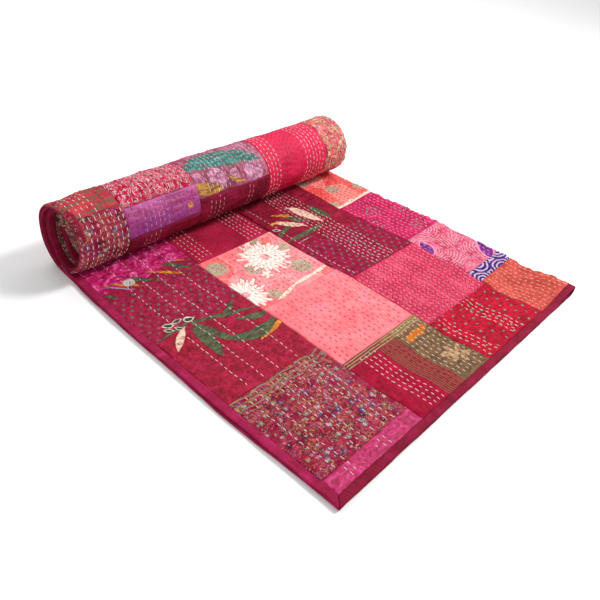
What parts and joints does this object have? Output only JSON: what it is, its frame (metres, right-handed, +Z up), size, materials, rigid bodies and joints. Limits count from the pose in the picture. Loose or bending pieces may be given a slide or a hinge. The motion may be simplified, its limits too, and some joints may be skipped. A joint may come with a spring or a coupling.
{
  "type": "patchwork quilt",
  "caption": "Bound patchwork quilt with rows of running stitch, folded in half along its length and rolled up from its far end on its own flat front part.",
  "frame": {"origin": "middle of the underside: the centre of the bounding box in X and Y, at the height of the face that the quilt lies on", "axes": "+Z up from the surface it lies on, +Y from the bound front edge towards the roll, +X along the roll from the open long edges to the fold"},
  "size_m": [0.7772, 0.7504, 0.1428],
  "materials": {
    "patchwork": "stitched silk and cotton patches",
    "binding": "plain crimson cotton",
    "thread": "cotton stitching thread"
  },
  "bodies": {
    "root": {"quilt_cloth": "patchwork", "binding_lower": "binding", "binding_upper": "binding", "binding_front": "binding"}
  },
  "joints": []
}
